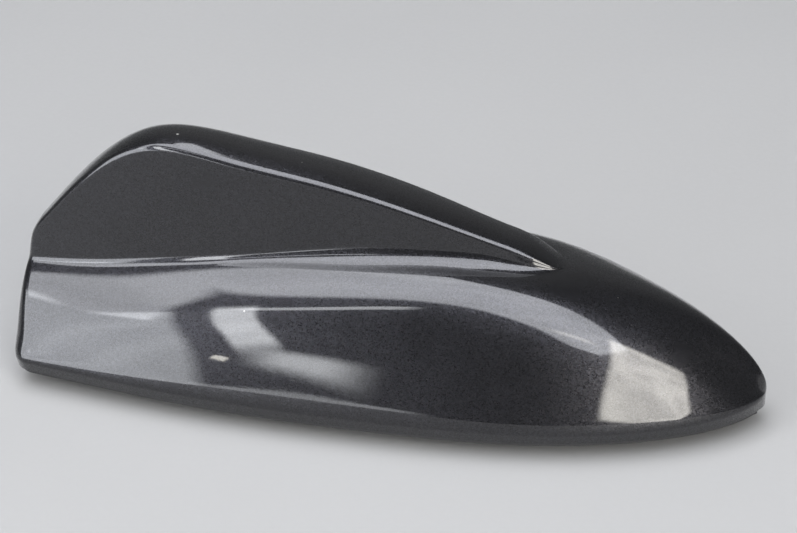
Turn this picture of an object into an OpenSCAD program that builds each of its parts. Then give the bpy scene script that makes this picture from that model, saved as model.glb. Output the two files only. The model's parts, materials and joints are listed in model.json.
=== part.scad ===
// Car roof antenna, shark-fin type: a glossy hull-shaped cover on a die-cast base
// with a short boss that passes through a hole in the roof panel.
// Millimetres. Origin on the fixing-bolt axis, in the plane of the roof sheet's top face.
// +X towards the nose of the cover, +Y to the left when looking towards the nose, +Z up.

/* [Cover] */
// Overall length of the cover, rear wall to nose
cover_l = 170; // [150:1:190]
// Overall width of the cover at its edge
cover_w = 57.2; // [48:0.2:66]
// Height of the fin's top above the roof plane
cover_h = 56.2; // [48:0.1:66]
// Height of the sharp edge that runs round the hull
edge_z = 4.5; // [3:0.1:7]
// Height of the rim's lower face above the roof plane
rim_z = 1.0; // [0.5:0.1:2]
// How far the band below the edge turns inwards
band_in = 0.8; // [0:0.1:2]
// Wall thickness of the cover
wall = 2.3; // [1.8:0.1:3]
// Radius along the two creases of the fin
crease_r = 1.3; // [0.6:0.1:2.5]
// How far the top of the fin rises between its two creases
crown_h = 0.3; // [0:0.05:0.8]
// Size of the hollow fillet at the foot of the fin, in its rear part
root_r = 1.2; // [0.8:0.2:6]
// Size of the same fillet towards the fin's tip
root_tip_r = 3.2; // [0.8:0.2:6]
// Radius where the rear wall turns into the sloping rear edge of the fin
kink_r = 10; // [6:0.5:14]
// How far the rear wall bulges to the rear halfway up
rear_bulge = 1.3; // [0:0.1:3]

/* [Base] */
// Distance from the rear wall to the fixing-bolt axis
bolt_x = 70; // [60:1:90]
// Thickness of the die-cast base plate
plate_t = 2.0; // [1.5:0.1:3]
// Length of the boss that goes through the roof
boss_l = 34; // [28:1:40]
// Width of the boss that goes through the roof
boss_w = 24; // [18:1:28]
// How far the boss reaches below the roof plane
boss_down = 4; // [3:0.5:8]
// Thickness of the rubber seal under the base plate
seal_t = 2.0; // [1.5:0.1:3]
// Wall radius of the tapped hole for an M6 bolt
bolt_r = 2.5; // [2:0.1:3.5]

/* [Electronics] */
// Thickness of the circuit boards
board_t = 1.6; // [1:0.1:2]
// Height of the main board's lower face
board_z = 7.0; // [6:0.5:9]
// Side of the square ceramic satellite patch
patch_s = 25; // [18:1:28]
// Thickness of the ceramic satellite patch
patch_t = 4; // [3:0.5:6]
// Number of turns in the loading coil
coil_turns = 7; // [4:1:10]

/* [Hidden] */
kw = cover_w / 57.2;
kh = cover_h / 56.2;
kl = cover_l / 170;
// Control values of smooth curves, from the nose (first) to the rear (last), even steps in the square root
// of the distance from the nose: hull half width, then hull heights at five even steps across a half
// section, from its middle (hull_a) to just inside its edge (hull_e).
hull_w = [0, 4.8, 10.5, 16.4, 21.6, 26.1, 28.5, 28.7, 28, 25.1, 18.8];
hull_a = [4.5, 9.9, 16, 22.1, 27.6, 31.7, 33.9, 34.5, 33.2, 29.2, 22.1];
hull_b = [4.5, 8.5, 14.5, 21.1, 27, 31.1, 33.2, 33.9, 32.7, 28.8, 21.9];
hull_c = [4.5, 6.4, 11.8, 18.3, 24.7, 30.2, 33.2, 33.1, 31, 26.4, 19.1];
hull_d = [4.5, 5.2, 9.2, 14.9, 21.2, 27.7, 31.6, 30.7, 27.5, 22.5, 14.3];
hull_e = [4.5, 4.6, 7, 11.3, 15.7, 18.9, 21, 22.4, 22.4, 18.3, 8.4];
// Share of the wall thickness by which each of the five is lower on the inside.
hull_in = [1, 0.95, 0.75, 0.5, 0.25];
// Control values at 10 mm steps from the rear: ridge height and crease half thickness of the fin.
fin_h = [29.6, 41.8, 51.4, 56.5, 56.3, 54.3, 52.5, 50.8, 48.4, 45.5, 42.1, 38.5, 35.6, 34];
fin_w = [3.2, 4.3, 5.2, 5.8, 6.5, 7, 7, 6.9, 6.7, 6.4, 5.8, 5.2, 5.3, 6.2];
tip_x = 124.5;
tip_l = 13;
kink_x = kink_r * (1 - cos(44));
seal_z = 0;
plate_z = seal_z + seal_t;
top_z = plate_z + plate_t;
boss_c = 78;
bt = board_z + board_t;
soc_x = 84.5;
soc_y = 4.8;
pillars = [[20, 12], [20, -12], [106, 19.5], [106, -19.5], [150, 0]];
stands = [[34, 11.5], [34, -11.5], [97, 12], [97, -12]];

// Smooth curve through a list of control values at p = 0, 1, 2 ...
function sp(v, p) = let (n = len(v), q = min(max(p, 0), n - 1), i = min(floor(q), n - 2), f = q - i,
  a = i < 1 ? 2 * v[0] - v[1] : v[i - 1], b = v[i], c = v[i + 1],
  d = i + 2 > n - 1 ? 2 * v[n - 1] - v[n - 2] : v[i + 2])
  ((1 - f) ^ 3 * a + (3 * f ^ 3 - 6 * f ^ 2 + 4) * b + (-3 * f ^ 3 + 3 * f ^ 2 + 3 * f + 1) * c + f ^ 3 * d) / 6;
function lerp(a, b, u) = a + (b - a) * u;
function root_t(x) = 10 * sqrt(max(1 - x / 170, 0));
function half_w(x) = kw * sp(hull_w, root_t(x));
// Six control heights across the half section at station x, inset q.
function hull_v(x, q) = let (t = root_t(x), v = kh * [sp(hull_a, t), sp(hull_b, t), sp(hull_c, t), sp(hull_d, t), sp(hull_e, t)])
  concat([for (i = [0:4]) q > 0 ? edge_z + max(v[i] - edge_z - q * hull_in[i], 0.35 * (v[i] - edge_z)) : v[i]], [edge_z]);
// Height of the hull surface, u = 0 at the middle of the section and 1 at its edge.
function hull_z(v, u) = let (e = concat([v[1]], v, [2 * v[5] - v[4]]), p = 5 * min(max(u, 0), 1), i = min(floor(p), 4), f = p - i)
  ((1 - f) ^ 3 * e[i] + (3 * f ^ 3 - 6 * f ^ 2 + 4) * e[i + 1] + (-3 * f ^ 3 + 3 * f ^ 2 + 3 * f + 1) * e[i + 2] + f ^ 3 * e[i + 3]) / 6;
function root_size(x) = let (t = min(max((x - 50) / 35, 0), 1)) root_r + (root_tip_r - root_r) * t * t * (3 - 2 * t);
function crown(x) = hull_z(hull_v(x, 0), 0);
function ridge(x) = kh * (x < kink_x
  ? sp(fin_h, kink_x / 10) - sqrt(kink_r ^ 2 - (kink_r - kink_x) ^ 2) + sqrt(max(kink_r ^ 2 - (kink_r - x) ^ 2, 0))
  : sp(fin_h, x / 10));
function tip_s(x) = min(max((x - tip_x + tip_l) / tip_l, 0), 1);
function fin_up(x) = max(ridge(x) - crown(x), 0.9) * (1 - tip_s(x) ^ 3) ^ 2;
function fin_half(x) = kw * sp(fin_w, x / 10) * sqrt(max(1 - tip_s(x) ^ 2, 0.002));
// Rounding of the rear corners in plan.
function corner(r, x) = x >= r ? 0 : r - sqrt(max(r * r - (r - x) ^ 2, 0));
function corner_r(z) = z < 8 ? 3.5 : z < 22 ? lerp(3.5, 1.6, (z - 8) / 14) : lerp(1.6, 1.2, min((z - 22) / 38, 1));
function rear_shift(x, z) = x >= 50 ? 0
  : (0.045 * z - rear_bulge * max(0, 4 * (z / 31) * (1 - z / 31))) * (1 - x / 50) ^ 2;
// Station moved in from the outer skin by the wall.
function in_x(x, q) = x + (x < 40 ? q * (1 - x / 40) : x > 130 ? -1.15 * q * ((x - 130) / 40) ^ 2 : 0);

// One half section, from the top middle down to the rim: list of [y, z] for station x,
// inset q (0 on the outside) and point counts c = [spine, crease, side, root, flank, edge, band].
function half_section(x, q, c, down) = let (
  w0 = half_w(x), w = q > 0 ? max(w0 - q, 0.58 * w0) : w0,
  v = hull_v(x, q),
  up = fin_up(x), fc0 = fin_half(x), fc1 = q > 0 ? max(fc0 - q, 0.3 * fc0) : fc0, fc = max(min(fc1, 0.45 * w), 0.05),
  rc = min(q > 0 ? 0.4 : crease_r, 0.35 * up + 0.02, 0.45 * fc), rf = min(root_size(x), 0.5 * up + 0.05, 0.35 * w),
  cr = crown_h * min(1, fc / 6) * min(1, up),
  side_y = fc - rc + rc * sin(86), side_z = max(up - cr - rc * (1 - cos(86)), 0),
  zr = min(rf, side_z * 0.7), yb = fc + 0.06 * max(up - rf, 0) + 0.1,
  x1 = yb + 0.06 * zr, x2 = x1 + max(rf, 0.1) * 1.2,
  ye = max(w - 1.0 * min(1, w / 8), x2 + 0.05),
  ua = concat(
    [for (i = [0:c[0] - 1]) let (u = i / c[0]) [(fc - rc) * u, up - cr * u * u]],
    [for (i = [0:c[1] - 1]) let (a = 86 * i / (c[1] - 1)) [fc - rc + rc * sin(a), max(up - cr - rc * (1 - cos(a)), 0)]],
    [for (i = [1:c[2] - 1]) let (u = i / c[2]) [lerp(side_y, yb, u), lerp(side_z, zr, u)]],
    [for (i = [0:c[3]]) let (u = i / c[3]) [(1 - u) ^ 2 * yb + 2 * u * (1 - u) * x1 + u * u * x2, (1 - u) ^ 2 * zr]]),
  n = len(ua), b = min(max((x - tip_x) / 14, 0), 1), bl = b * b * (3 - 2 * b), xe = lerp(x2, 0.42 * w, bl),
  top = [for (i = [0:n - 1]) let (y = lerp(ua[i][0], 0.42 * w * i / (n - 1), bl)) [y, hull_z(v, y / w) + ua[i][1] * (1 - bl)]],
  flank = [for (i = [1:c[4]]) let (u = i / c[4], y = lerp(xe, ye, u)) [y, hull_z(v, y / w)]],
  y1 = ye, z1 = hull_z(v, ye / w), sl = (z1 - hull_z(v, (ye - 0.2) / w)) / 0.2,
  zA = edge_z - 1, cz = max(z1 + sl * (w - ye), zA + 0.05),
  edge = [for (i = [1:c[5]]) let (u = i / c[5])
    [(1 - u) ^ 2 * y1 + 2 * u * (1 - u) * w + u * u * (w - 0.1 * band_in * min(1, w / 4)), (1 - u) ^ 2 * z1 + 2 * u * (1 - u) * cz + u * u * zA]],
  band = [for (i = [1:c[6]]) let (u = i / c[6])
    [w - (0.1 + 0.9 * u) * band_in * min(1, w / 4), lerp(zA, down, u)]],
  all = concat(top, flank, edge, band))
  [for (p = all) let (d = corner(corner_r(p[1]), x) * min(max(p[0] / 3, 0), 1)) [max(p[0] - d, 0.2 * p[0]), p[1]]];

function ring(x, q, c, down) = let (s = half_section(x, q, c, down), m = len(s), xi = in_x(x, q))
  concat([for (p = s) [kl * (xi + rear_shift(x, p[1])) - bolt_x, p[0], p[1]]],
    [for (i = [m - 1:-1:0]) let (p = s[i]) [kl * (xi + rear_shift(x, p[1])) - bolt_x, -max(p[0], 0), p[1]]]);
// Rings need a small gap at the top middle, so that the two halves stay apart.
function open_ring(r, g) = let (m = len(r) / 2, k = min(g, 0.5 * r[1][1]))
  [for (i = [0:len(r) - 1]) i == 0 ? [r[i][0], k, r[i][2]] : i == 2 * m - 1 ? [r[i][0], -k, r[i][2]] : r[i]];
function lofted(rs) = let (n = len(rs), m = len(rs[0])) [
  for (i = [0:n - 2]) for (j = [0:m - 1]) each
    [[i * m + j, i * m + (j + 1) % m, (i + 1) * m + (j + 1) % m], [i * m + j, (i + 1) * m + (j + 1) % m, (i + 1) * m + j]],
  for (e = [0, n - 1]) for (j = [0:m / 2 - 2]) each (e == 0
    ? [[e * m + j, e * m + m - 1 - j, e * m + m - 2 - j], [e * m + j, e * m + m - 2 - j, e * m + j + 1]]
    : [[e * m + j, e * m + m - 2 - j, e * m + m - 1 - j], [e * m + j, e * m + j + 1, e * m + m - 2 - j]])];
module loft(xs, q, c, down) {
  rs = [for (x = xs) open_ring(ring(x, q, c, down), min(0.15, 0.02 * half_w(x)))];
  polyhedron(points = [for (r = rs) each r], faces = lofted(rs));
}
stations = concat([for (a = [0, 7, 14, 21, 28, 36, 44]) 10 * (1 - cos(a))], [4.2, 6, 8.5, 11, 14],
  [for (x = [17:4:41]) x], [for (x = [47:7:103]) x], [108, 112, 115, 117.5, 119.5, 121.2, 122.6, 123.6, 124.3, 125, 127, 130, 134, 139, 144, 149, 154, 158, 161.5, 164, 166, 167.5, 168.6, 169.4, 169.9]);

module outer_skin() loft(stations, 0, [4, 4, 2, 5, 11, 4, 2], rim_z);
module inner_skin() loft(stations, wall, [2, 2, 2, 2, 6, 2, 1], rim_z - 1);

module cover() color([0.13, 0.13, 0.15]) difference() {
  outer_skin();
  difference() {
    inner_skin();
    for (p = pillars) translate([p[0] - bolt_x, p[1], 0]) {
      hull() { translate([0, 0, top_z]) cylinder(r = 3, h = 0.5, $fn = 28); translate([0, 0, 44]) cylinder(r = 3.8, h = 0.5, $fn = 28); }
      if (p[1] != 0) hull() { translate([-0.6, p[1] > 0 ? 0 : -7, top_z + 3]) cube([1.2, 7, 0.5]); translate([-0.8, p[1] > 0 ? 0 : -11, 44]) cube([1.6, 11, 0.5]); }
    }
  }
  for (p = pillars) translate([p[0] - bolt_x, p[1], 0]) cylinder(r = 1.25, h = 11.5, $fn = 28);
}

// Plan outline of what lies inside the cover: g is the gap to the cover's inner wall at the rim.
plan_x = [for (i = [0:1:28]) i < 8 ? [0, 0.5, 1.2, 2, 2.8, 3.5, 5, 10][i] : i < 20 ? 10 + (i - 7) * 11 : [148, 153, 157.5, 161, 163.5, 165.5, 167, 168, 168.8][i - 20]];
function plan_pt(x, g) = let (w0 = half_w(x), w = max(w0 - wall, 0.58 * w0) - band_in * min(1, w0 / 4) - g - corner(3.5, x),
  xi = in_x(x, wall)) [kl * (xi + g * (x < 20 ? 1 - x / 20 : x > 130 ? -1.2 * ((x - 130) / 38.8) ^ 2 : 0)) - bolt_x, max(w, 0.3)];
function plan(g) = concat([for (x = plan_x) plan_pt(x, g)], [for (i = [28:-1:0]) let (p = plan_pt(plan_x[i], g)) [p[0], -p[1]]]);
module slab(g, z0, z1) translate([0, 0, z0]) linear_extrude(height = z1 - z0) polygon(plan(g));
module rbox(x0, x1, hy, z0, z1, r) translate([0, 0, z0]) linear_extrude(height = z1 - z0)
  polygon([for (k = [0:3]) for (a = [0:15:90]) let (cx = (k == 0 || k == 3) ? x1 - r : x0 + r, cy = k < 2 ? hy - r : r - hy, t = a + 90 * k) [cx - bolt_x + r * cos(t), cy + r * sin(t)]]);

module base_plate() color([0.62, 0.63, 0.65]) difference() {
  union() {
    slab(0.35, plate_z, top_z);
    difference() { slab(2.4, top_z - 0.5, top_z + 1.6); slab(3.6, top_z - 1, top_z + 3); }
    rbox(boss_c - boss_l / 2, boss_c + boss_l / 2, boss_w / 2, -boss_down, plate_z + 0.5, 3);
    translate([0, 0, top_z - 0.5]) cylinder(r = 6.5, h = 2.9);
    for (p = stands) translate([p[0] - bolt_x, p[1], top_z - 0.5]) cylinder(r = 2.8, h = board_z - top_z + 0.5);
    for (y = [-17, 17]) translate([46 - bolt_x, y - 0.6, top_z - 0.5]) cube([44, 1.2, 1.7]);
  }
  translate([0, 0, -boss_down - 1]) cylinder(r = 4.5, h = boss_down + 1 + 5.8);
  translate([soc_x - 6 - bolt_x, -9.6, -boss_down - 1]) cube([12, 19.2, boss_down + 1 + 8]);
  for (p = pillars) translate([p[0] - bolt_x, p[1], 0]) cylinder(r = 1.5, h = 9);
  for (p = pillars) translate([p[0] - bolt_x, p[1], top_z]) cylinder(r = 3.3, h = 9);
  for (p = stands) translate([p[0] - bolt_x, p[1], top_z - 0.6]) cylinder(r = 0.85, h = 9);
  translate([128 - bolt_x, 0, 0]) cylinder(r = 1.6, h = 9);
  translate([128 - bolt_x, 0, top_z - 0.8]) cylinder(r = 3.2, h = 2);
}

module roof_seal() color([0.07, 0.07, 0.07]) difference() {
  union() {
    slab(-1.7, seal_z, rim_z);
    slab(0.35, rim_z - 0.2, plate_z);
  }
  rbox(boss_c - boss_l / 2 - 2, boss_c + boss_l / 2 + 2, boss_w / 2 + 2, -1, plate_z + 1, 4.8);
  for (p = pillars) translate([p[0] - bolt_x, p[1], -1]) cylinder(r = 3.4, h = 9);
  translate([128 - bolt_x, 0, -1]) cylinder(r = 2.4, h = 9);
}

module boss_gasket() color([0.09, 0.09, 0.09]) difference() {
  rbox(boss_c - boss_l / 2 - 1.8, boss_c + boss_l / 2 + 1.8, boss_w / 2 + 1.8, -1.2, plate_z, 4.6);
  rbox(boss_c - boss_l / 2 - 0.1, boss_c + boss_l / 2 + 0.1, boss_w / 2 + 0.1, -3, plate_z + 1, 3.1);
}

module rim_gasket() color([0.3, 0.3, 0.32]) difference() {
  slab(0.5, top_z, top_z + 1.2);
  slab(2.2, top_z - 1, top_z + 3);
}

module threaded_insert() color([0.78, 0.62, 0.3]) difference() {
  translate([0, 0, -boss_down]) cylinder(r = 4.5, h = boss_down + 5.8);
  translate([0, 0, -boss_down - 1]) cylinder(r = bolt_r, h = boss_down + 1 + 5);
}

module retaining_clips() color([0.85, 0.83, 0.76]) for (s = [-1, 1])
  translate([boss_c - 8 - bolt_x, 0, 0]) rotate([90, 0, 90]) linear_extrude(height = 7)
    polygon([[s * boss_w / 2, -1.5], [s * (boss_w / 2 + 1.1), -1.7], [s * (boss_w / 2 + 1.1), -2.2], [s * boss_w / 2, -3.9]]);

module vent_membrane() color([0.9, 0.9, 0.88]) translate([128 - bolt_x, 0, top_z - 0.8]) cylinder(r = 3.2, h = 0.5);

module main_board() color([0.07, 0.3, 0.16]) difference() {
  translate([-bolt_x, 0, board_z]) linear_extrude(height = board_t) polygon([[27, -14], [29, -16], [98, -16], [101, -14.5], [134, -14.5], [143, -8], [143, 8], [134, 14.5], [101, 14.5], [98, 16], [29, 16], [27, 14]]);
  for (p = stands) translate([p[0] - bolt_x, p[1], board_z - 1]) cylinder(r = 1.1, h = 4);
  translate([121 - bolt_x, 0, board_z - 1]) cylinder(r = 0.45, h = 4);
  for (s = [-1, 1]) translate([soc_x - bolt_x, s * soc_y, board_z - 1]) cylinder(r = 0.55, h = 4);
}

fin_xs = [21, 24, 27, 30, 34, 40, 50, 60, 70, 80, 90, 98];
function fin_top(x) = ridge(x) - wall - 3.2;
module fin_slab(y, d0, d1, k) translate([-bolt_x, y / 2, 0]) rotate([90, 0, 0]) linear_extrude(height = y)
  polygon(concat([for (i = [k:len(fin_xs) - 1]) [fin_xs[i], fin_top(fin_xs[i]) + d1]], [for (i = [len(fin_xs) - 1:-1:k]) [fin_xs[i], fin_top(fin_xs[i]) + d0]]));
module fin_board() color([0.08, 0.34, 0.18]) union() {
  translate([-bolt_x, board_t / 2, 0]) rotate([90, 0, 0]) linear_extrude(height = board_t)
    polygon(concat([for (x = fin_xs) [x, fin_top(x)]], [[98, bt], [31, bt], [31, 26], [21, 32]]));
}
module board_brackets() color([0.75, 0.76, 0.78]) for (s = [-1, 1]) for (x = [40, 72])
  translate([x - bolt_x, 0, 0]) rotate([90, 0, 90]) linear_extrude(height = 6)
    polygon([[s * 0.8, bt], [s * 3.6, bt], [s * 3.6, bt + 0.4], [s * 1.2, bt + 0.4], [s * 1.2, bt + 5], [s * 0.8, bt + 5]]);
module capacitive_plate() color([0.8, 0.62, 0.3]) difference() {
  fin_slab(2.3, -8, 0.35, 2);
  fin_slab(board_t, -12, 0, 0);
}
module fin_foam() color([0.16, 0.16, 0.17]) fin_slab(2.0, 0.35, 2.4, 4);
module coil_core() color([0.85, 0.85, 0.8]) translate([26 - bolt_x, 0, bt]) union() {
  cylinder(r = 1.75, h = 12.6);
  cylinder(r = 3, h = 0.4);
  translate([0, 0, 11.9]) cylinder(r = 3, h = 0.7);
}
module loading_coil() color([0.72, 0.42, 0.22]) translate([26 - bolt_x, 0, bt + 0.4])
  linear_extrude(height = 11.2, twist = -360 * coil_turns, slices = 16 * coil_turns, convexity = 8)
    polygon(concat([for (a = [0:32:160]) 2.5 * [cos(a), sin(a)]], [for (a = [160:-32:0]) 1.85 * [cos(a), sin(a)]]));

module patch_ceramic() color([0.86, 0.82, 0.72]) difference() {
  translate([121 - patch_s / 2 - bolt_x, -patch_s / 2, bt]) cube([patch_s, patch_s, patch_t]);
  translate([121 - bolt_x, 0, bt - 1]) cylinder(r = 0.45, h = patch_t + 2);
}
module patch_electrode() color([0.85, 0.85, 0.84]) difference() {
  translate([121 - bolt_x, 0, bt + patch_t]) linear_extrude(height = 0.15)
    polygon([[-10.5, -8.5], [-8.5, -10.5], [10.5, -10.5], [10.5, 8.5], [8.5, 10.5], [-10.5, 10.5]]);
  translate([121 - bolt_x, 0, bt + patch_t - 1]) cylinder(r = 0.45, h = 2);
}
module patch_pin() color([0.9, 0.89, 0.86]) translate([121 - bolt_x, 0, board_z - 0.8]) {
  cylinder(r = 0.42, h = board_t + patch_t + 0.95);
  translate([0, 0, board_t + patch_t + 0.95]) cylinder(r = 1.1, h = 0.35);
}
module cell_plate(s) translate([42 - bolt_x, 0, 0]) difference() {
  union() {
    translate([0, s > 0 ? 10.4 : -10.8, bt]) cube([24, 0.4, 8.6]);
    translate([0, s > 0 ? 6.4 : -10.8, bt + 8.2]) cube([24, 4.4, 0.4]);
  }
  for (x = [6, 14]) translate([x, s > 0 ? 9 : -12, bt - 1]) cube([4, 3, 5]);
}
module cell_element_left() color([0.78, 0.6, 0.35]) cell_plate(1);
module cell_element_right() color([0.78, 0.6, 0.35]) cell_plate(-1);
module can(x0, x1, y0, y1, h) difference() {
  translate([x0 - bolt_x, y0, bt]) cube([x1 - x0, y1 - y0, h]);
  translate([x0 + 0.3 - bolt_x, y0 + 0.3, bt - 1]) cube([x1 - x0 - 0.6, y1 - y0 - 0.6, h + 0.7]);
}
module lna_shield() color([0.78, 0.79, 0.81]) can(91, 105, -9, -2.5, 2.8);
module amp_shield() color([0.78, 0.79, 0.81]) can(70, 90, 6, 15.4, 3.2);
module rf_chips() color([0.08, 0.08, 0.09]) {
  for (p = [[76, -9, 6], [96, 6, 4], [50, -13.6, 3], [60, 13.6, 3]]) translate([p[0] - p[2] / 2 - bolt_x, p[1] - p[2] / 2, bt]) cube([p[2], p[2], 0.9]);
}
module chip_capacitors() color([0.72, 0.6, 0.45]) for (p = [[82, -6], [82, -8.4], [82, -10.8], [86, -6], [86, -10.8], [70, -6], [70, -12], [100.5, 5], [100.5, 8], [47, 4.5], [53, 4.5], [59, -4.5], [47, -4.5], [64.5, 13]])
  translate([p[0] - 0.8 - bolt_x, p[1] - 0.4, bt]) cube([1.6, 0.8, 0.8]);

module coax_housing() color([0.15, 0.3, 0.62]) difference() {
  union() {
    translate([soc_x - 6 - bolt_x, -9.6, -boss_down]) cube([12, 19.2, boss_down + top_z]);
    translate([soc_x - 7.5 - bolt_x, -11, top_z]) cube([15, 22, board_z - top_z]);
  }
  for (s = [-1, 1]) translate([soc_x - bolt_x, s * soc_y, -boss_down - 1]) cylinder(r = 3.7, h = boss_down + 1 + 3);
  for (s = [-1, 1]) translate([soc_x - bolt_x, s * soc_y, -boss_down - 1]) cylinder(r = 0.5, h = 20);
}
module coax_shells() color([0.82, 0.83, 0.85]) for (s = [-1, 1]) translate([soc_x - bolt_x, s * soc_y, -boss_down + 1]) difference() {
  cylinder(r = 2.9, h = boss_down + 2);
  translate([0, 0, -1]) cylinder(r = 2.5, h = boss_down + 4);
}
module coax_pins() color([0.85, 0.7, 0.35]) for (s = [-1, 1]) translate([soc_x - bolt_x, s * soc_y, -boss_down + 1.5]) cylinder(r = 0.48, h = bt + 0.6 + boss_down - 1.5);

module base_screws() color([0.7, 0.71, 0.73]) for (p = pillars) translate([p[0] - bolt_x, p[1], 0]) difference() {
  union() {
    translate([0, 0, 0.7]) cylinder(r = 2.6, h = plate_z - 0.7);
    translate([0, 0, plate_z - 0.2]) cylinder(r = 1.2, h = 8.6);
  }
  translate([0, 0, 0.2]) cylinder(r = 1.2, h = 1.2, $fn = 6);
}
module board_screws() color([0.7, 0.71, 0.73]) for (p = stands) translate([p[0] - bolt_x, p[1], 0]) difference() {
  union() {
    translate([0, 0, bt]) cylinder(r = 1.9, h = 1.3);
    translate([0, 0, top_z - 0.4]) cylinder(r = 0.8, h = bt - top_z + 0.6);
  }
  translate([0, 0, bt + 0.6]) cylinder(r = 0.8, h = 1.2, $fn = 6);
}

cover();
base_plate();
roof_seal();
boss_gasket();
rim_gasket();
threaded_insert();
retaining_clips();
vent_membrane();
main_board();
fin_board();
board_brackets();
capacitive_plate();
fin_foam();
coil_core();
loading_coil();
patch_ceramic();
patch_electrode();
patch_pin();
cell_element_left();
cell_element_right();
lna_shield();
amp_shield();
rf_chips();
chip_capacitors();
coax_housing();
coax_shells();
coax_pins();
base_screws();
board_screws();
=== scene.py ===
import json
import math
import bpy
import numpy as np
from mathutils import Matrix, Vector


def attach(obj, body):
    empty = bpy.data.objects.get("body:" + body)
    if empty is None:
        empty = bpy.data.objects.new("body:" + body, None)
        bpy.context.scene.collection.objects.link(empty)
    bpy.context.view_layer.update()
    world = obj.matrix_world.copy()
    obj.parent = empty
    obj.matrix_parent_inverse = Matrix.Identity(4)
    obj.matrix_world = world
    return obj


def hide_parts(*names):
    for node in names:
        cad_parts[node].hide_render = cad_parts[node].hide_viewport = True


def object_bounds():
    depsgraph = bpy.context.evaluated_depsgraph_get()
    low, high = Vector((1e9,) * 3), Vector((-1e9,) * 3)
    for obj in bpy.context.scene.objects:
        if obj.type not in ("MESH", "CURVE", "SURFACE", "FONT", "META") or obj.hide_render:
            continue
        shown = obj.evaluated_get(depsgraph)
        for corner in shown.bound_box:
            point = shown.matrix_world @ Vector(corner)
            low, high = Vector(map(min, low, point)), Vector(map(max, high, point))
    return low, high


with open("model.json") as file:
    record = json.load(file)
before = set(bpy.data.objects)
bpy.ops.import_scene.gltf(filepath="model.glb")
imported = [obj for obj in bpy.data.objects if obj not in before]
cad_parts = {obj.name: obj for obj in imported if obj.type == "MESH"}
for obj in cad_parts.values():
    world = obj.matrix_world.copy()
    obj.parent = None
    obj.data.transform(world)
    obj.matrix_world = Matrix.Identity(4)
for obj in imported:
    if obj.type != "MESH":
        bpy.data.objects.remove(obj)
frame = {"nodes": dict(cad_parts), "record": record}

cad_lo, cad_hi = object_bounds()
MM = 0.001
BOLT_X = 70.0

# ---------------------------------------------------------------- shape tables (as in the CAD source)
HULL_W = [0, 4.8, 10.5, 16.4, 21.6, 26.1, 28.5, 28.7, 28, 25.1, 18.8]
HULL = [[4.5, 9.9, 16, 22.1, 27.6, 31.7, 33.9, 34.5, 33.2, 29.2, 22.1],
        [4.5, 8.5, 14.5, 21.1, 27, 31.1, 33.2, 33.9, 32.7, 28.8, 21.9],
        [4.5, 6.4, 11.8, 18.3, 24.7, 30.2, 33.2, 33.1, 31, 26.4, 19.1],
        [4.5, 5.2, 9.2, 14.9, 21.2, 27.7, 31.6, 30.7, 27.5, 22.5, 14.3],
        [4.5, 4.6, 7, 11.3, 15.7, 18.9, 21, 22.4, 22.4, 18.3, 8.4]]
HULL_IN = [1, 0.95, 0.75, 0.5, 0.25]
FIN_H = [29.6, 41.8, 51.4, 56.5, 56.3, 54.3, 52.5, 50.8, 48.4, 45.5, 42.1, 38.5, 35.6, 34]
FIN_W = [3.2, 4.3, 5.2, 5.8, 6.5, 7, 7, 6.9, 6.7, 6.4, 5.8, 5.2, 5.3, 6.2]
WALL, TIP_X, TIP_L, EDGE_Z, RIM_Z, BAND_IN = 2.3, 124.5, 13.0, 4.5, 1.0, 0.8
CREASE_R, ROOT_R, KINK_R, BULGE = 1.3, 1.2, 10.0, 1.3
KINK_X = KINK_R * (1 - math.cos(math.radians(44)))
PILLARS = [(20, 12), (20, -12), (106, 19.5), (106, -19.5), (150, 0)]


def sp(v, p):
    n = len(v)
    q = min(max(p, 0), n - 1)
    i = min(int(math.floor(q)), n - 2)
    f = q - i
    a = 2 * v[0] - v[1] if i < 1 else v[i - 1]
    b, c = v[i], v[i + 1]
    d = 2 * v[n - 1] - v[n - 2] if i + 2 > n - 1 else v[i + 2]
    return ((1 - f) ** 3 * a + (3 * f ** 3 - 6 * f * f + 4) * b + (-3 * f ** 3 + 3 * f * f + 3 * f + 1) * c + f ** 3 * d) / 6


def root_t(x):
    return 10 * math.sqrt(max(1 - x / 170, 0))


def ridge(x):
    if x < KINK_X:
        return sp(FIN_H, KINK_X / 10) - math.sqrt(KINK_R ** 2 - (KINK_R - KINK_X) ** 2) + math.sqrt(max(KINK_R ** 2 - (KINK_R - x) ** 2, 0))
    return sp(FIN_H, x / 10)


def hull_at(x, q):
    """Height of the hull surface across the section at station x, as a function of u (0 middle, 1 edge)."""
    t = root_t(x)
    v = [sp(row, t) for row in HULL]
    if q > 0:
        v = [EDGE_Z + max(a - EDGE_Z - q * k, 0.35 * (a - EDGE_Z)) for a, k in zip(v, HULL_IN)]
    v.append(EDGE_Z)
    e = np.array([v[1]] + v + [2 * v[5] - v[4]])

    def hz(u):
        p = 5 * np.clip(u, 0, 1)
        i = np.minimum(np.floor(p).astype(int), 4)
        f = p - i
        return ((1 - f) ** 3 * e[i] + (3 * f ** 3 - 6 * f * f + 4) * e[i + 1] + (-3 * f ** 3 + 3 * f * f + 3 * f + 1) * e[i + 2] + f ** 3 * e[i + 3]) / 6
    return hz


def root_size(x):
    """Hollow fillet at the foot of the fin: tight at the rear, wider towards the tip."""
    t = min(max((x - 50) / 35, 0), 1)
    return ROOT_R + 2.0 * t * t * (3 - 2 * t)


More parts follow.
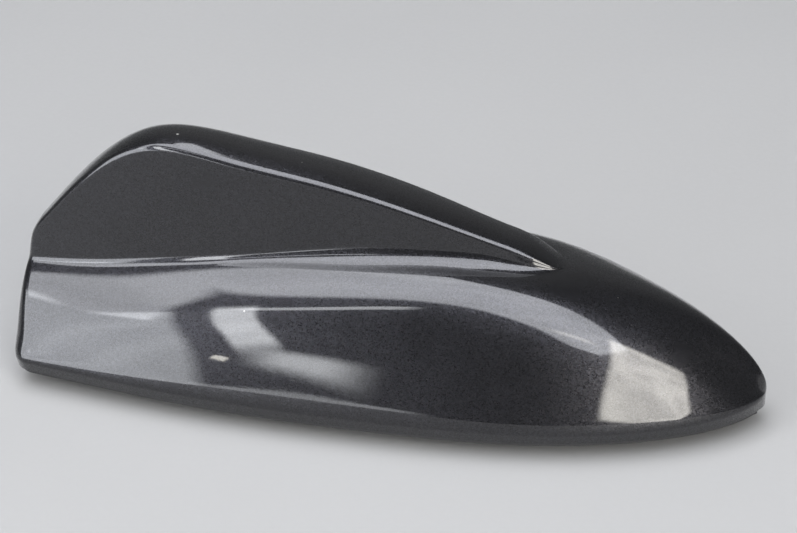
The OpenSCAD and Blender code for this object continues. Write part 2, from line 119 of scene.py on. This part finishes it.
def section(x, q, c, down):
    """One half section of the cover at station x, from the top middle to the rim, as points in the row frame (mm)."""
    w0 = sp(HULL_W, root_t(x))
    w = max(w0 - q, 0.58 * w0) if q > 0 else w0
    hz = hull_at(x, q)
    h0 = float(hull_at(x, 0)(0.0))
    ts = min(max((x - TIP_X + TIP_L) / TIP_L, 0), 1)
    up = max(ridge(x) - h0, 0.9) * (1 - ts ** 3) ** 2
    fc0 = sp(FIN_W, x / 10) * math.sqrt(max(1 - ts * ts, 0.002))
    fc1 = max(fc0 - q, 0.3 * fc0) if q > 0 else fc0
    fc = max(min(fc1, 0.45 * w), 0.05)
    rc = min(0.4 if q > 0 else CREASE_R, 0.35 * up + 0.02, 0.45 * fc)
    rf = min(root_size(x), 0.5 * up + 0.05, 0.35 * w)
    cr = 0.3 * min(1, fc / 6) * min(1, up)
    a86 = math.radians(86)
    sy = fc - rc + rc * math.sin(a86)
    sz = max(up - cr - rc * (1 - math.cos(a86)), 0)
    zr = min(rf, sz * 0.7)
    yb = fc + 0.06 * max(up - rf, 0) + 0.1
    x1 = yb + 0.06 * zr
    x2 = x1 + max(rf, 0.1) * 1.2
    ye = max(w - min(1, w / 8), x2 + 0.05)
    # start of the flank's even rows: clear of the fin's foot, and smooth past the fin's tip
    ya, yc = min(x2 + 0.8, 0.7 * ye), 0.42 * w
    ys = min(0.5 * (ya + yc + math.sqrt((ya - yc) ** 2 + 1)), 0.8 * ye) if w > 4 else max(yc, 0.5 * (x2 + ye))
    ys = max(ys, x2 + 0.02)
    ua = []
    for i in range(c[0]):
        u = i / c[0]
        ua.append(((fc - rc) * u, up - cr * u * u))
    for i in range(c[1]):
        t = a86 * i / (c[1] - 1)
        ua.append((fc - rc + rc * math.sin(t), max(up - cr - rc * (1 - math.cos(t)), 0)))
    for i in range(1, c[2]):
        u = i / c[2]
        ua.append((sy + (yb - sy) * u, sz + (zr - sz) * u))
    for i in range(c[3] + 1):
        u = i / c[3]
        ua.append(((1 - u) ** 2 * yb + 2 * u * (1 - u) * x1 + u * u * x2, (1 - u) ** 2 * zr))
    for i in range(1, c[4] + 1):
        ua.append((x2 + (ys - x2) * i / c[4], 0.0))
    ua = np.array(ua)
    n = len(ua)
    b = min(max((x - TIP_X) / 14, 0), 1)
    bl = b * b * (3 - 2 * b)
    y = ua[:, 0] + (ys * np.arange(n) / (n - 1) - ua[:, 0]) * bl
    top = np.stack([y, hz(y / w) + ua[:, 1] * (1 - bl)], 1)
    u = np.arange(1, c[5] + 1) / c[5]
    y = ys + (ye - ys) * u
    flank = np.stack([y, hz(y / w)], 1)
    z1 = float(hz(ye / w))
    sl = (z1 - float(hz((ye - 0.2) / w))) / 0.2
    za = EDGE_Z - 1
    cz = max(z1 + sl * (w - ye), za + 0.05)
    k = min(1, w / 4)
    u = np.arange(1, c[6] + 1) / c[6]
    edge = np.stack([(1 - u) ** 2 * ye + 2 * u * (1 - u) * w + u * u * (w - 0.1 * BAND_IN * k),
                     (1 - u) ** 2 * z1 + 2 * u * (1 - u) * cz + u * u * za], 1)
    u = np.arange(1, c[7] + 1) / c[7]
    band = np.stack([w - (0.1 + 0.9 * u) * BAND_IN * k, za + (down - za) * u], 1)
    s = np.concatenate([top, flank, edge, band])
    z = s[:, 1]
    r = np.where(z < 8, 3.5, np.where(z < 22, 3.5 + (1.6 - 3.5) * (z - 8) / 14, 1.6 + (1.2 - 1.6) * np.minimum((z - 22) / 38, 1)))
    d = np.where(x >= r, 0, r - np.sqrt(np.maximum(r * r - (r - x) ** 2, 0))) * np.clip(s[:, 0] / 3, 0, 1)
    s[:, 0] = np.maximum(s[:, 0] - d, 0.2 * s[:, 0])
    xi = x + (q * (1 - x / 40) if x < 40 else (-1.15 * q * ((x - 130) / 40) ** 2 if x > 130 else 0))
    sh = 0 if x >= 50 else (0.045 * z - BULGE * np.maximum(0, 4 * (z / 31) * (1 - z / 31))) * (1 - x / 50) ** 2
    return np.stack([xi + sh - BOLT_X + 0 * z, s[:, 0], z], 1)


# ---------------------------------------------------------------- mesh helpers
def make_object(name, verts, faces, smooth=True):
    me = bpy.data.meshes.new(name)
    me.from_pydata([tuple(float(a) * MM for a in v) for v in verts], [], faces)
    me.validate()
    me.update()
    if smooth:
        me.polygons.foreach_set("use_smooth", [True] * len(me.polygons))
        me.set_sharp_from_angle(angle=math.radians(42))
    ob = bpy.data.objects.new(name, me)
    bpy.context.scene.collection.objects.link(ob)
    return ob


def shell(xs, q, c, down, cap_cols):
    """Both halves of a skin as one open grid plus its rear wall; returns verts, faces, and the rim loop."""
    half = [section(x, q, c, down) for x in xs]
    m = len(half[0])
    verts, faces = [], []
    idx = np.zeros((len(xs), 2 * m - 1), dtype=int)
    for i, s in enumerate(half):
        for j in range(2 * m - 1):
            k = m - 1 - j if j < m else j - m + 1          # from the left rim over the top to the right rim
            p = s[k].copy()
            if j < m:
                p[1] = abs(p[1])
            else:
                p[1] = -abs(p[1])
            if k == 0:
                p[1] = 0.0
            idx[i, j] = len(verts)
            verts.append(p)
    n2 = 2 * m - 1
    for i in range(len(xs) - 1):
        for j in range(n2 - 1):
            faces.append((idx[i, j], idx[i + 1, j], idx[i + 1, j + 1], idx[i, j + 1]))
    # rear wall: rows between the left and the right point of the first section
    prev = None
    rows = []
    for j in range(m - 1):
        left, right = idx[0, j], idx[0, n2 - 1 - j]
        row = [left]
        pl, pr = verts[left], verts[right]
        for t in range(1, cap_cols):
            u = t / cap_cols
            row.append(len(verts))
            verts.append(np.array([pl[0], pl[1] + (pr[1] - pl[1]) * u, pl[2]]))
        row.append(right)
        rows.append(row)
    for a, b in zip(rows[:-1], rows[1:]):
        for t in range(cap_cols):
            faces.append((a[t], b[t], b[t + 1], a[t + 1]))
    top = idx[0, m - 1]
    last = rows[-1]
    for t in range(cap_cols):
        faces.append((last[t], top, last[t + 1]))
    # nose end
    e = len(xs) - 1
    for j in range(m - 2):
        faces.append((idx[e, j], idx[e, n2 - 1 - j], idx[e, n2 - 2 - j], idx[e, j + 1]))
    faces.append((idx[e, m - 2], idx[e, m], idx[e, m - 1]))
    rim = rows[0] + [idx[i, n2 - 1] for i in range(1, len(xs))] + [idx[i, 0] for i in range(len(xs) - 1, 0, -1)]
    return verts, faces, rim


def stations():
    a = [KINK_R * (1 - math.cos(math.radians(t))) for t in np.linspace(0, 44, 26)]
    b = list(np.linspace(a[-1], 14, 16)[1:]) + list(np.linspace(14, 108, 84)[1:]) + list(np.linspace(108, 118, 18)[1:])
    b += list(118 + (6.6) * np.sin(np.linspace(0, math.pi / 2, 30))[1:])
    t = np.linspace(math.sqrt(1 - 124.6 / 170), math.sqrt(1 - 169.998 / 170), 70)[1:]
    return a + b + [170 * (1 - q * q) for q in t]


XS = stations()
OUT_C, IN_C = [14, 12, 16, 16, 8, 46, 10, 6], [3, 3, 5, 5, 3, 14, 3, 2]
ov, of_, orim = shell(XS, 0, OUT_C, RIM_Z, 24)
iv, if_, irim = shell(XS, WALL, IN_C, RIM_Z, 24)
base = len(ov)
verts = ov + iv
faces = list(of_) + [tuple(base + k for k in reversed(f)) for f in if_]
n = len(orim)
for k in range(n):
    a, b = orim[k], orim[(k + 1) % n]
    faces.append((a, base + irim[k], base + irim[(k + 1) % n], b))

# screw pillars that hang from the inner skin, each with a blind bore, closed meshes of their own
for px, py in PILLARS:
    near = min(range(len(XS)), key=lambda i: abs(XS[i] - px))
    s_in = section(XS[near], WALL, IN_C, RIM_Z)
    o = np.argsort(s_in[:, 1])
    reach = [float(np.interp(abs(py) + d, s_in[o, 1], s_in[o, 2])) for d in (-3.6, 0.0, 3.6)]
    top_z = min(reach) + 0.9
    rings = [(1.25, 11.5), (1.25, 4.0), (3.0, 4.0), (3.0 + 0.8 * (top_z - 4.0) / 40, top_z)]
    first = len(verts)
    seg = 40
    for r, z in rings:
        for i in range(seg):
            t = 2 * math.pi * i / seg
            verts.append(np.array([px - BOLT_X + r * math.cos(t), py + r * math.sin(t), z]))
    for k in range(3):
        for i in range(seg):
            j = (i + 1) % seg
            faces.append((first + k * seg + i, first + (k + 1) * seg + i, first + (k + 1) * seg + j, first + k * seg + j))
    faces.append(tuple(first + i for i in range(seg)))
    faces.append(tuple(first + 3 * seg + i for i in reversed(range(seg))))

# stay inside the CAD part's box
pts = np.array(verts)
lim_lo, lim_hi = np.array(cad_lo) / MM, np.array(cad_hi) / MM
for k in (0, 1, 2):
    f = 1.0
    if pts[:, k].max() > lim_hi[k] - 0.001:
        f = min(f, (lim_hi[k] - 0.001) / pts[:, k].max())
    if pts[:, k].min() < lim_lo[k] + 0.001 and pts[:, k].min() < 0:
        f = min(f, (lim_lo[k] + 0.001) / pts[:, k].min())
    pts[:, k] *= f
cover = make_object("cover_shell", pts, faces)


# ---------------------------------------------------------------- materials
def new_mat(name):
    m = bpy.data.materials.new(name)
    m.use_nodes = True
    nt = m.node_tree
    nt.nodes.clear()
    out = nt.nodes.new("ShaderNodeOutputMaterial")
    bsdf = nt.nodes.new("ShaderNodeBsdfPrincipled")
    nt.links.new(bsdf.outputs["BSDF"], out.inputs["Surface"])
    return m, nt, bsdf


def node(nt, kind, **kw):
    nd = nt.nodes.new(kind)
    for k, v in kw.items():
        setattr(nd, k, v)
    return nd


def math_node(nt, op, a, b=None, clamp=False):
    nd = node(nt, "ShaderNodeMath", operation=op, use_clamp=clamp)
    for i, v in enumerate((a, b)):
        if v is None:
            continue
        if isinstance(v, (int, float)):
            nd.inputs[i].default_value = v
        else:
            nt.links.new(v, nd.inputs[i])
    return nd.outputs[0]


def noise(nt, vec, scale, detail=4.0, rough=0.55, dist=0.0):
    nd = node(nt, "ShaderNodeTexNoise")
    nd.inputs["Scale"].default_value = scale
    nd.inputs["Detail"].default_value = detail
    nd.inputs["Roughness"].default_value = rough
    nd.inputs["Distortion"].default_value = dist
    nt.links.new(vec, nd.inputs["Vector"])
    return nd


def remap(nt, val, a, b, c, d):
    nd = node(nt, "ShaderNodeMapRange")
    for k, v in zip(("From Min", "From Max", "To Min", "To Max"), (a, b, c, d)):
        nd.inputs[k].default_value = v
    nt.links.new(val, nd.inputs["Value"])
    return nd.outputs["Result"]


def mixrgb(nt, fac, a, b, blend="MIX"):
    nd = node(nt, "ShaderNodeMix", data_type="RGBA", blend_type=blend)
    for key, v in ((0, fac), (6, a), (7, b)):
        if isinstance(v, (int, float)):
            nd.inputs[key].default_value = v
        elif isinstance(v, tuple):
            nd.inputs[key].default_value = (*v, 1)
        else:
            nt.links.new(v, nd.inputs[key])
    return nd.outputs[2]


def bump(nt, height, strength, dist, normal=None):
    nd = node(nt, "ShaderNodeBump")
    nd.inputs["Strength"].default_value = strength
    nd.inputs["Distance"].default_value = dist
    nt.links.new(height, nd.inputs["Height"])
    if normal is not None:
        nt.links.new(normal, nd.inputs["Normal"])
    return nd.outputs["Normal"]


def coords(nt):
    return node(nt, "ShaderNodeTexCoord").outputs["Object"]


def plain_mat(name, base, metallic=0.0, rough=(0.4, 0.55), var=0.12, scale=60, grain=900, grain_h=0.00002, strength=0.3, coat=0.0, brushed=None):
    """A material whose colour, roughness and fine relief all vary from noise."""
    m, nt, b = new_mat(name)
    vec = coords(nt)
    if brushed:
        mp = node(nt, "ShaderNodeMapping")
        mp.inputs["Scale"].default_value = brushed
        nt.links.new(vec, mp.inputs["Vector"])
        fine_vec = mp.outputs["Vector"]
    else:
        fine_vec = vec
    n1 = noise(nt, vec, scale, 5)
    n2 = noise(nt, fine_vec, grain, 3)
    dark = tuple(max(c * (1 - var), 0) for c in base)
    lite = tuple(min(c * (1 + var), 1) for c in base)
    nt.links.new(mixrgb(nt, remap(nt, n1.outputs["Fac"], 0.3, 0.7, 0, 1), dark, lite), b.inputs["Base Color"])
    mixr = math_node(nt, "ADD", math_node(nt, "MULTIPLY", n1.outputs["Fac"], 0.6), math_node(nt, "MULTIPLY", n2.outputs["Fac"], 0.4))
    nt.links.new(remap(nt, mixr, 0.3, 0.7, rough[0], rough[1]), b.inputs["Roughness"])
    nt.links.new(bump(nt, n2.outputs["Fac"], strength, grain_h), b.inputs["Normal"])
    b.inputs["Metallic"].default_value = metallic
    b.inputs["Coat Weight"].default_value = coat
    if coat:
        b.inputs["Coat Roughness"].default_value = 0.08
    return m


def paint_mat():
    m, nt, b = new_mat("metallic_paint")
    vec = coords(nt)
    geo = node(nt, "ShaderNodeNewGeometry")
    # flakes: one random tilt and brightness for each cell, at two sizes
    v1 = node(nt, "ShaderNodeTexVoronoi", feature="F1")
    v1.inputs["Scale"].default_value = 5200
    nt.links.new(vec, v1.inputs["Vector"])
    v2 = node(nt, "ShaderNodeTexVoronoi", feature="F1")
    v2.inputs["Scale"].default_value = 4300
    nt.links.new(vec, v2.inputs["Vector"])
    sub = node(nt, "ShaderNodeVectorMath", operation="SUBTRACT")
    nt.links.new(v1.outputs["Color"], sub.inputs[0])
    sub.inputs[1].default_value = (0.5, 0.5, 0.5)
    scl = node(nt, "ShaderNodeVectorMath", operation="SCALE")
    nt.links.new(sub.outputs[0], scl.inputs[0])
    scl.inputs["Scale"].default_value = 0.16
    add = node(nt, "ShaderNodeVectorMath", operation="ADD")
    nt.links.new(scl.outputs[0], add.inputs[0])
    nt.links.new(geo.outputs["Normal"], add.inputs[1])
    nrm = node(nt, "ShaderNodeVectorMath", operation="NORMALIZE")
    nt.links.new(add.outputs[0], nrm.inputs[0])
    nt.links.new(nrm.outputs[0], b.inputs["Normal"])
    sep = node(nt, "ShaderNodeSeparateColor")
    nt.links.new(v2.outputs["Color"], sep.inputs[0])
    big = noise(nt, vec, 45, 4)
    flake = math_node(nt, "MULTIPLY", remap(nt, sep.outputs[0], 0, 1, 0.5, 1.55), remap(nt, big.outputs["Fac"], 0.3, 0.7, 0.92, 1.08))
    tint = mixrgb(nt, remap(nt, sep.outputs[1], 0, 1, 0, 1), (0.0155, 0.0157, 0.0192), (0.0185, 0.0178, 0.0198))
    sc = node(nt, "ShaderNodeVectorMath", operation="SCALE")
    nt.links.new(tint, sc.inputs[0])
    nt.links.new(flake, sc.inputs["Scale"])
    # fine dust: small pale specks, a few larger ones
    d1 = node(nt, "ShaderNodeTexVoronoi", feature="F1")
    d1.inputs["Scale"].default_value = 210
    nt.links.new(vec, d1.inputs["Vector"])
    dsep = node(nt, "ShaderNodeSeparateColor")
    nt.links.new(d1.outputs["Color"], dsep.inputs[0])
    size = remap(nt, dsep.outputs[0], 0.86, 1.0, 0.0, 0.085)
    speck = math_node(nt, "LESS_THAN", d1.outputs["Distance"], size)
    col = mixrgb(nt, math_node(nt, "MULTIPLY", speck, 0.55), sc.outputs[0], (0.30, 0.29, 0.28))

    def spot(x, y, r, colour, under):
        """One grain at a place seen from above; its mask reads only x and y, so it marks every surface at that place.
        """
        flat = node(nt, "ShaderNodeVectorMath", operation="MULTIPLY")
        nt.links.new(vec, flat.inputs[0])
        flat.inputs[1].default_value = (1, 1, 0)
        d = node(nt, "ShaderNodeVectorMath", operation="DISTANCE")
        nt.links.new(flat.outputs[0], d.inputs[0])
        d.inputs[1].default_value = (x, y, 0)
        return mixrgb(nt, math_node(nt, "LESS_THAN", d.outputs["Value"], r), under, colour)
    col = spot(-0.0331, -0.00155, 0.00028, (0.80, 0.78, 0.75), col)
    nt.links.new(col, b.inputs["Base Color"])
    nt.links.new(remap(nt, big.outputs["Fac"], 0.3, 0.7, 0.26, 0.33), b.inputs["Roughness"])
    b.inputs["Metallic"].default_value = 0.92
    b.inputs["Coat Weight"].default_value = 1.0
    b.inputs["Coat Roughness"].default_value = 0.035
    b.inputs["Coat IOR"].default_value = 1.5
    # clear coat: slight orange peel, hair scratches and the specks stand proud
    peel = noise(nt, vec, 420, 2, 0.5)
    mp = node(nt, "ShaderNodeMapping")
    mp.inputs["Scale"].default_value = (60, 900, 700)
    mp.inputs["Rotation"].default_value = (0.2, 0.35, 0.5)
    nt.links.new(vec, mp.inputs["Vector"])
    scr = noise(nt, mp.outputs["Vector"], 4, 2, 0.4)
    line = math_node(nt, "GREATER_THAN", scr.outputs["Fac"], 0.735)
    nrm1 = bump(nt, peel.outputs["Fac"], 0.03, 0.0001)
    hgt = math_node(nt, "SUBTRACT", speck, math_node(nt, "MULTIPLY", line, 0.5))
    nrm2 = bump(nt, hgt, 0.05, 0.00003, nrm1)
    nt.links.new(nrm2, b.inputs["Coat Normal"])
    return m


M = {
    "cover_paint": paint_mat(),
    "die_cast": plain_mat("die_cast_metal", (0.50, 0.51, 0.53), 1.0, (0.42, 0.62), 0.10, 50, 1300, 0.00006, 0.5),
    "black_rubber": plain_mat("seal_rubber", (0.018, 0.018, 0.019), 0.0, (0.62, 0.85), 0.25, 90, 1800, 0.00004, 0.5),
    "foam_rubber": plain_mat("closed_foam", (0.030, 0.030, 0.033), 0.0, (0.85, 0.98), 0.3, 200, 2600, 0.0002, 0.9),
    "grey_silicone": plain_mat("silicone", (0.20, 0.20, 0.22), 0.0, (0.45, 0.6), 0.08, 80, 1400, 0.00002, 0.25),
    "brass": plain_mat("turned_brass", (0.68, 0.50, 0.24), 1.0, (0.22, 0.38), 0.10, 120, 500, 0.00001, 0.3, brushed=(1, 1, 14)),
    "natural_plastic": plain_mat("natural_moulding", (0.72, 0.69, 0.60), 0.0, (0.35, 0.5), 0.05, 90, 1200, 0.00002, 0.2),
    "membrane": plain_mat("porous_membrane", (0.82, 0.82, 0.80), 0.0, (0.8, 0.95), 0.05, 300, 4200, 0.00005, 0.6),
    "circuit_board": plain_mat("solder_mask", (0.018, 0.11, 0.052), 0.0, (0.28, 0.42), 0.18, 160, 900, 0.00002, 0.3, coat=0.3),
    "tin_plate": plain_mat("tin_plate", (0.60, 0.61, 0.62), 1.0, (0.24, 0.42), 0.08, 140, 900, 0.00001, 0.3, brushed=(1, 10, 1)),
    "bronze_sheet": plain_mat("bronze_sheet", (0.62, 0.42, 0.22), 1.0, (0.25, 0.42), 0.12, 120, 800, 0.00001, 0.3, brushed=(1, 8, 8)),
    "copper_wire": plain_mat("enamelled_copper", (0.62, 0.28, 0.12), 1.0, (0.18, 0.30), 0.12, 200, 900, 0.00001, 0.2, coat=0.6),
    "coil_plastic": plain_mat("coil_former", (0.72, 0.71, 0.64), 0.0, (0.35, 0.5), 0.05, 90, 1200, 0.00002, 0.2),
    "patch_ceramic": plain_mat("fired_ceramic", (0.70, 0.61, 0.45), 0.0, (0.55, 0.75), 0.10, 260, 2200, 0.00004, 0.5),
    "silver_coat": plain_mat("fired_silver", (0.74, 0.74, 0.72), 1.0, (0.42, 0.6), 0.06, 200, 1800, 0.00003, 0.4),
    "chip_black": plain_mat("chip_mould", (0.022, 0.022, 0.025), 0.0, (0.5, 0.7), 0.2, 400, 3000, 0.00003, 0.4),
    "chip_tan": plain_mat("chip_ceramic", (0.42, 0.29, 0.17), 0.0, (0.4, 0.6), 0.25, 900, 3000, 0.00002, 0.3),
    "socket_blue": plain_mat("socket_moulding", (0.045, 0.12, 0.36), 0.0, (0.36, 0.52), 0.08, 100, 1300, 0.00003, 0.3),
    "gold_plate": plain_mat("gold_plate", (0.80, 0.58, 0.24), 1.0, (0.15, 0.28), 0.06, 200, 900, 0.00001, 0.2),
    "zinc_steel": plain_mat("zinc_steel", (0.58, 0.59, 0.61), 1.0, (0.28, 0.46), 0.10, 300, 1500, 0.00002, 0.3),
}

cover.data.materials.append(M["cover_paint"])
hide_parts("cover")
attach(cover, "root")

slot_of = {s["node"]: s["material_slot"] for s in frame["record"]["subparts"]}
for name, ob in frame["nodes"].items():
    if name == "cover":
        continue
    m = M[slot_of[name]]
    if not ob.data.materials:
        ob.data.materials.append(m)
    for k in range(len(ob.material_slots)):
        ob.material_slots[k].material = m

# ---------------------------------------------------------------- floor
me = bpy.data.meshes.new("floor")
fv, ff, R = [], [], 3.0
ring = 72
fv.append((0.0, 0.0, -0.004))
for i in range(ring):
    t = 2 * math.pi * i / ring
    fv.append((R * math.cos(t), R * math.sin(t), -0.004))
for i in range(ring):
    ff.append((0, 1 + i, 1 + (i + 1) % ring))
me.from_pydata(fv, [], ff)
me.update()
floor = bpy.data.objects.new("floor", me)
bpy.context.scene.collection.objects.link(floor)
floor.data.materials.append(plain_mat("pale_floor", (0.255, 0.253, 0.250), 0.0, (0.6, 0.75), 0.015, 6, 700, 0.00003, 0.2))


# ---------------------------------------------------------------- light
def toward(az, el, dist, centre=(0.015, 0.0, 0.02)):
    """Place seen from the object in the direction az (0 = -Y, 90 = +X) and el above the horizon, degrees."""
    a, e = math.radians(az), math.radians(el)
    d = Vector((math.sin(a) * math.cos(e), -math.cos(a) * math.cos(e), math.sin(e)))
    return Vector(centre) + d * dist, d


def softbox(name, az, el, dist, wide, tall, power, colour=(1, 1, 1), roll=0.0, soft=0.12, uneven=0.0):
    li = bpy.data.lights.new(name, "AREA")
    li.shape = "RECTANGLE"
    li.size, li.size_y = wide, tall
    li.energy = power
    li.color = colour
    li.use_nodes = True
    nt = li.node_tree
    nt.nodes.clear()
    out = nt.nodes.new("ShaderNodeOutputLight")
    em = nt.nodes.new("ShaderNodeEmission")
    nt.links.new(em.outputs[0], out.inputs[0])
    geo = nt.nodes.new("ShaderNodeNewGeometry")
    sep = nt.nodes.new("ShaderNodeSeparateXYZ")
    nt.links.new(geo.outputs["Parametric"], sep.inputs[0])
    # fades out towards its edges, as a diffuser does
    f = None
    for k in (0, 1):
        d = math_node(nt, "SUBTRACT", 0.5, math_node(nt, "ABSOLUTE", math_node(nt, "SUBTRACT", sep.outputs[k], 0.5)))
        mr = node(nt, "ShaderNodeMapRange", interpolation_type="SMOOTHSTEP")
        mr.inputs["From Min"].default_value = 0.0
        mr.inputs["From Max"].default_value = soft
        nt.links.new(d, mr.inputs["Value"])
        f = mr.outputs["Result"] if f is None else math_node(nt, "MULTIPLY", f, mr.outputs["Result"])
    if uneven:
        cloud = node(nt, "ShaderNodeTexNoise")
        cloud.inputs["Scale"].default_value = 4.5
        cloud.inputs["Detail"].default_value = 1.0
        nt.links.new(geo.outputs["Position"], cloud.inputs["Vector"])
        f = math_node(nt, "MULTIPLY", f, remap(nt, cloud.outputs["Fac"], 0.35, 0.65, 1 - uneven, 1 + uneven))
    nt.links.new(f, em.inputs["Strength"])
    ob = bpy.data.objects.new(name, li)
    p, d = toward(az, el, dist)
    ob.location = p
    q = (-d).to_track_quat("-Z", "Y")
    ob.rotation_mode = "QUATERNION"
    from mathutils import Quaternion
    ob.rotation_quaternion = q @ Quaternion((0, 0, 1), math.radians(roll))
    ob.visible_camera = False
    bpy.context.scene.collection.objects.link(ob)
    return ob


def ceiling(name, x0, x1, y0, y1, z, power, colour, soft, cut_a, cut_b, notch):
    """Level diffuser above the part, faded at its edges. Each cut takes off what lies beyond one line, and notch what
    lies beyond both of its lines."""
    li = bpy.data.lights.new(name, "AREA")
    li.shape = "RECTANGLE"
    li.size, li.size_y = x1 - x0, y1 - y0
    li.energy = power
    li.color = colour
    li.use_nodes = True
    nt = li.node_tree
    nt.nodes.clear()
    out = nt.nodes.new("ShaderNodeOutputLight")
    em = nt.nodes.new("ShaderNodeEmission")
    nt.links.new(em.outputs[0], out.inputs[0])
    sep = nt.nodes.new("ShaderNodeSeparateXYZ")
    nt.links.new(nt.nodes.new("ShaderNodeNewGeometry").outputs["Position"], sep.inputs[0])
    px, py = sep.outputs[0], sep.outputs[1]

    def fade(d, over=soft):
        mr = node(nt, "ShaderNodeMapRange", interpolation_type="SMOOTHSTEP")
        mr.inputs["From Min"].default_value = 0.0
        mr.inputs["From Max"].default_value = over
        nt.links.new(d, mr.inputs["Value"])
        return mr.outputs["Result"]

    def side(line, over=soft):
        (ax, ay), (bx, by) = line
        ln = math.hypot(bx - ax, by - ay)
        nx, ny = -(by - ay) / ln, (bx - ax) / ln
        return fade(math_node(nt, "ADD", math_node(nt, "MULTIPLY", math_node(nt, "SUBTRACT", px, ax), nx),
                              math_node(nt, "MULTIPLY", math_node(nt, "SUBTRACT", py, ay), ny)), over)
    f = math_node(nt, "MAXIMUM", side(notch[0]), side(notch[1]))
    for line in (cut_a, cut_b):
        f = math_node(nt, "MULTIPLY", f, side(line, 0.08))
    for d in (math_node(nt, "SUBTRACT", px, x0), math_node(nt, "SUBTRACT", x1, px), math_node(nt, "SUBTRACT", py, y0), math_node(nt, "SUBTRACT", y1, py)):
        f = math_node(nt, "MULTIPLY", f, fade(d))
    cloud = node(nt, "ShaderNodeTexNoise")
    cloud.inputs["Scale"].default_value = 1.7
    cloud.inputs["Detail"].default_value = 1.0
    nt.links.new(nt.nodes["Geometry"].outputs["Position"], cloud.inputs["Vector"])
    f = math_node(nt, "MULTIPLY", f, remap(nt, cloud.outputs["Fac"], 0.3, 0.7, 0.92, 1.17))
    nt.links.new(f, em.inputs["Strength"])
    ob = bpy.data.objects.new(name, li)
    ob.location = ((x0 + x1) / 2, (y0 + y1) / 2, z)
    ob.visible_camera = False
    bpy.context.scene.collection.objects.link(ob)
    return ob


D = 1.6
ceiling("ceiling", -2.1, 1.9, -2.9, 1.0, 1.5, 290, (0.93, 0.95, 1.0), 0.15,
        ((1.2, -0.75), (-0.27, 1.0)), ((-0.50, 0.57), (-1.75, -0.80)),
        (((-2.0, -2.1), (-0.95, -0.5)), ((-0.95, -0.5), (0.3, -1.85))))
softbox("side_window", -50, 10.5, D, 0.95, 1.4, 25, (0.93, 0.96, 1.0), roll=33, soft=0.08, uneven=0.08)
softbox("nose_lamp", 45, 15, D, 0.68, 1.24, 26, (1.0, 0.97, 0.90), roll=-34, soft=0.10, uneven=0.18)
softbox("nose_tail", 30, 32.5, D, 0.50, 0.13, 0.9, (1.0, 0.97, 0.90), roll=-18, soft=0.4)
softbox("arc_strip", -31.5, 27, D, 0.20, 1.40, 10, (0.95, 0.97, 1.0), roll=27, soft=0.2, uneven=0.08)
softbox("arc_foot", -17, 5.5, D, 0.44, 0.20, 2.4, (0.95, 0.97, 1.0), roll=-12, soft=0.4)
softbox("arc_top", -27, 43, D, 0.70, 0.12, 1.8, (0.95, 0.97, 1.0), roll=0, soft=0.2)
softbox("glint", -26.3, 5.6, D, 0.070, 0.032, 0.09, (1.0, 0.97, 0.88), roll=-20, soft=0.2)
softbox("low_strip", -17, -0.2, D, 0.72, 0.07, 0.6, (0.95, 0.97, 1.0), soft=0.25)
softbox("back_wall", 180, 38, 2.6, 4.6, 2.2, 3, (1.0, 0.98, 0.97), soft=0.45)

bpy.context.scene.view_settings.view_transform = "Standard"

world = bpy.data.worlds.new("studio")
bpy.context.scene.world = world
world.use_nodes = True
bg = world.node_tree.nodes["Background"]
bg.inputs[0].default_value = (0.80, 0.82, 0.85, 1)
bg.inputs[1].default_value = 0.22

# ---------------------------------------------------------------- camera
cam = bpy.data.cameras.new("camera")
cam.sensor_fit = "HORIZONTAL"
cam.sensor_width = 36.0
cam.lens = 2229.7 / 797 * 36.0
cam.clip_start, cam.clip_end = 0.01, 50
cam_ob = bpy.data.objects.new("camera", cam)
cam_ob.location = (0.098579, -0.425122, 0.276937)
cam_ob.rotation_euler = (math.radians(60), 0, math.radians(10.9547))
bpy.context.scene.collection.objects.link(cam_ob)
bpy.context.scene.camera = cam_ob
